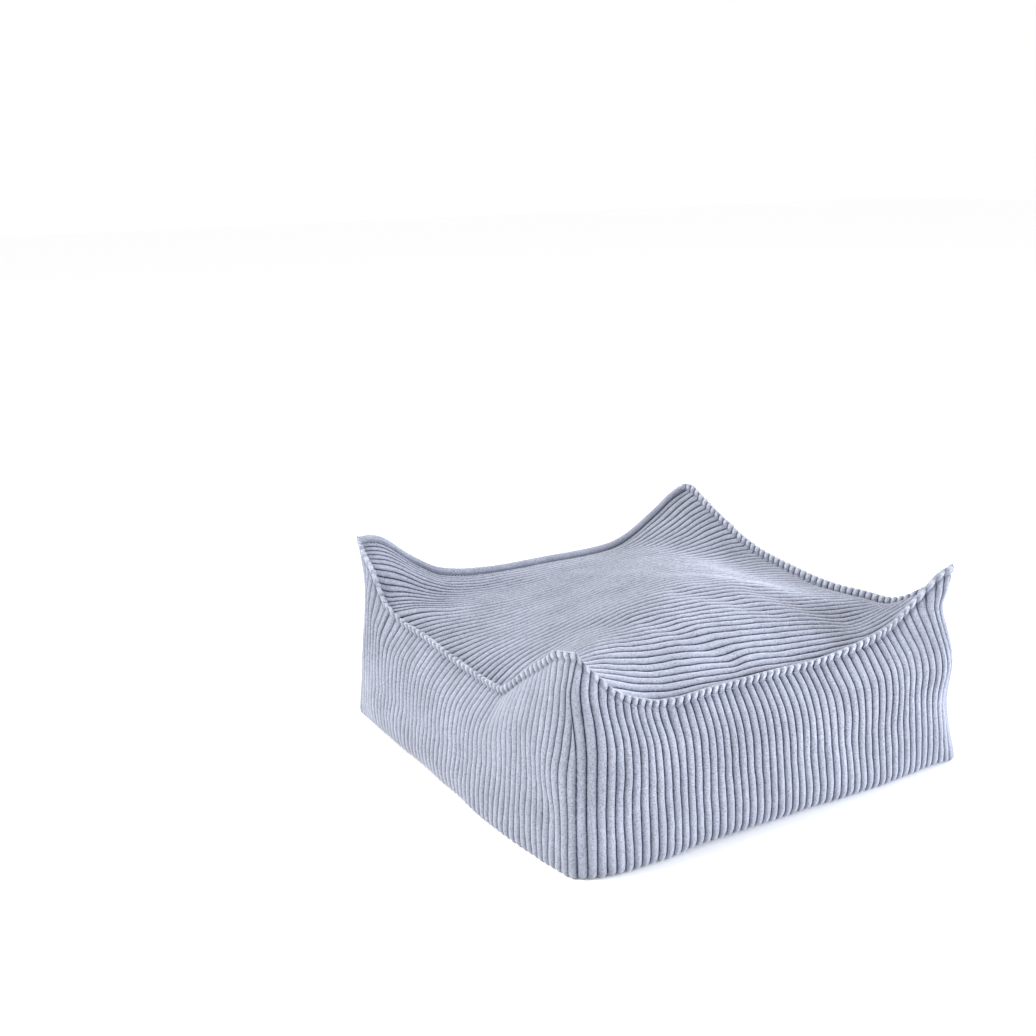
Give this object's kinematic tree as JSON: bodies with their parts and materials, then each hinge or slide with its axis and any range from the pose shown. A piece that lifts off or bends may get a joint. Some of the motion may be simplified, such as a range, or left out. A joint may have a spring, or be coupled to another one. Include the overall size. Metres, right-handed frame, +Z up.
{
  "type": "bean bag footstool",
  "caption": "Square, low bean bag footstool in wide-wale corduroy, with bulging sides, a topstitched flange round a dished top and corners that stand up as pointed ears.",
  "frame": {"origin": "on the floor under the middle of the bounding box", "axes": "+X along the front from left to right, +Y towards the back, +Z up"},
  "size_m": [0.543, 0.5408, 0.2316],
  "materials": {
    "corduroy": "soft cut-pile corduroy, pale lavender blue, matt with a slight sheen at grazing angles"
  },
  "bodies": {
    "root": {"filled_bag": "corduroy"}
  },
  "joints": []
}
